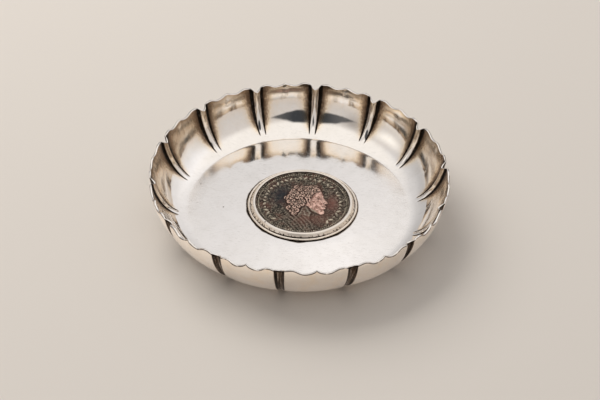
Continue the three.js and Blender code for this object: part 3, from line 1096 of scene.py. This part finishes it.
blotch = noise(spot, 0.3, 4, 0.65)
mottle = noise(spot, 1.1, 4, 0.7)
grain = noise(spot, 3.2, 3, 0.75)
flecks = noise(spot, 1.4, 2, 0.6)
head = (bare_head + hair).math("MINIMUM", 1)
worn = crest * grain.ramp(0.35, 0.55, 0.3, 1) * blotch.ramp(0.38, 0.55, 0.4, 1)
rubbed = bare_head * 0.95 + hair * (crest * 0.75 + 0.12)
sunk = hollow * head.ramp(0, 1, 0.6, 1)
coin_color = coats(
    field_black,
    (mottle.ramp(0.42, 0.6), field_brown),
    (grain.ramp(0.51, 0.6) * mottle.ramp(0.4, 0.55, 0.3, 0.9), sandy_grain),
    (flecks.ramp(0.57, 0.64) * 0.5, sandy_fleck),
    (flecks.ramp(0.38, 0.46, 0.9, 0), field_black),
    (blotch.ramp(0.48, 0.62) * 0.6, red_brown),
    (stain(4.5, -10, 6.5, 3.4) * grain.ramp(0.35, 0.6) * 0.75, copper_brown),
    (stain(-8.5, 4.5, 4.5, 6) * 0.9, blue_black),
    (stain(12.2, -0.5, 2.4, 5) * mottle.ramp(0.4, 0.6, 0.5, 0.9), red_stain),
    (worn, worn_pale),
    (
        rubbed.math("MINIMUM", 1) * grain.ramp(0.38, 0.48, 0.35, 1),
        blend(mottle.ramp(0.4, 0.6), pink_copper, dull_copper),
    ),
    (sunk, hollow_dark),
    # painted shadow under the collar's lip
    (from_middle.ramp(18.8, 19.1) * 0.6, lip_shadow_color),
)
polish = (rubbed + worn * 0.5).math("MINIMUM", 1)
rough = grain + mottle * 0.5
pitted = place(shading, "ShaderNodeBump", {"Strength": 0.5, "Distance": pit_depth, "Height": rough})
plug(shader, {
    "Base Color": coin_color,
    "Metallic": polish.ramp(0, 1, 0.35, 0.85),
    "Roughness": 0.52 - polish * 0.16 + sunk * 0.2,
    "Normal": pitted,
})

coin = grown_mesh("struck_coin", tree, {**mark_sizes, "Copper": coin_material}, blank)
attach(coin, "root")
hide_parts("coin")


# Coin's collar
# A band of silver with its ends joined, tapered to its top. It is soldered to the dish's floor, and its
# top edge is rubbed down over the border of the coin by hand, so that its lip is a little uneven.
collar_profile = [  # radius and height in millimetres, from inside its foot, round and back
    (19.70, 0.00), (21.17, 0.00), (21.20, 0.04), (21.20, 0.38), (21.12, 0.52), (20.80, 1.02), (20.48, 1.50),
    (20.33, 1.72), (20.24, 1.84), (20.10, 1.93), (19.92, 1.99), (19.72, 2.01), (19.52, 1.99), (19.34, 1.94),
    (19.20, 1.86), (19.12, 1.78), (19.10, 1.73), (19.14, 1.70), (19.70, 1.70),
]
band_facets = 288


def turned_band(name, profile, facets, material, hand, seed):
    """A closed band turned from a profile, its points moved about by hand marks of that many millimetres"""
    random = np.random.default_rng(seed)
    turns = np.linspace(0, 2 * np.pi, facets, endpoint=False)
    uneven = sum(
        random.normal(0, 1) / math.sqrt(wave) * np.cos(wave * turns + random.uniform(0, 6.28))
        for wave in range(2, 26)
    )
    uneven = hand * uneven / np.abs(uneven).max()
    profile = np.array(profile)
    lifted = profile[:, 1] / profile[:, 1].max()
    radius = profile[:, 0][None, :] + uneven[:, None] * lifted[None, :] ** 3
    points = np.stack([
        radius * np.cos(turns)[:, None],
        radius * np.sin(turns)[:, None],
        np.repeat(profile[:, 1][None, :], facets, 0),
    ], -1).reshape(-1, 3)
    faces = net_faces(facets, len(profile), closed=True)
    return mesh_object(name, (points + coin_place) * MM, faces, material)


def in_front(x, y):
    """How much dirt and painted contact shade lie round the coin, which is most in front of it"""
    return y.ramp(-21, -8, 1, 0) * x.bell(-1, 11) + 0.22


collar_material, shading, shader = new_material("collar_silver", {"Metallic": 1})
from_middle, above_seat, spot, x, y = round_coin(shading)
speck = noise(spot, 1.3, 3, 0.6)
streak = noise(spot, 0.5, 2)
# The groove above the wire holds dirt and painted shade, most at the front, and a line of painted shadow runs
# under the lip's inner edge
groove = above_seat.ramp(0.66, 0.86, 1, 0) * speck.ramp(0.25, 0.5, 0.6, 1)
lip_shadow_line = from_middle.bell(19.12, 0.14)
low_specks = speck.ramp(0.52, 0.62) * above_seat.ramp(0.9, 1.5, 0.9, 0.1)
coat_with_wear_and_shade(shading, shader, {
    "Tarnish And Shade": groove * in_front(x, y) + lip_shadow_line * 0.75 + low_specks,
    "Warmth": above_seat.ramp(0.8, 1.6, 0.16, 0.14) * (0.5 + streak),
    "Satin": 0.37,
    "Scratches": 0.8,
}, bump=0.5)
collar = turned_band("rubbed_collar", collar_profile, band_facets, collar_material, hand=0.09, seed=5)
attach(collar, "root")
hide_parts("coin_collar")


# Wire round the collar
# Half-round silver wire, bent into a ring and soldered round the foot of the collar.
# It hides the joint, and dirt stays along both its edges, where polishing doesn't reach, with painted contact
# shade over it, most at the front.
wire_middle, wire_half, wire_height = 21.8, 0.55, 0.75  # in millimetres
wire_profile = [
    (wire_middle + wire_half * math.cos(turn), wire_height * math.sin(turn))
    for turn in np.linspace(math.pi, 0, 13)
]
wire_material, shading, shader = new_material("wire_silver", {"Metallic": 1})
from_middle, _, spot, x, y = round_coin(shading)
speck = noise(spot, 1.6, 3, 0.6)
off_top = abs(from_middle - wire_middle)
front_share = in_front(x, y)
edge_amount = front_share + (1 - front_share) * from_middle.ramp(21.7, 21.9)
edge_dirt_and_shade = off_top.ramp(0.42, 0.54) * speck.ramp(0.25, 0.5, 0.6, 1) * edge_amount
coat_with_wear_and_shade(shading, shader, {
    "Tarnish And Shade": edge_dirt_and_shade + speck.ramp(0.6, 0.7) * 0.5,
    "Warmth": 0.1 + speck * 0.2,
    "Satin": 0.28,
    "Scratches": 0.5,
}, bump=0.5)
wire = turned_band("collar_ring_wire", wire_profile[::-1], band_facets, wire_material, hand=0.04, seed=8)
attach(wire, "root")
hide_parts("collar_wire")
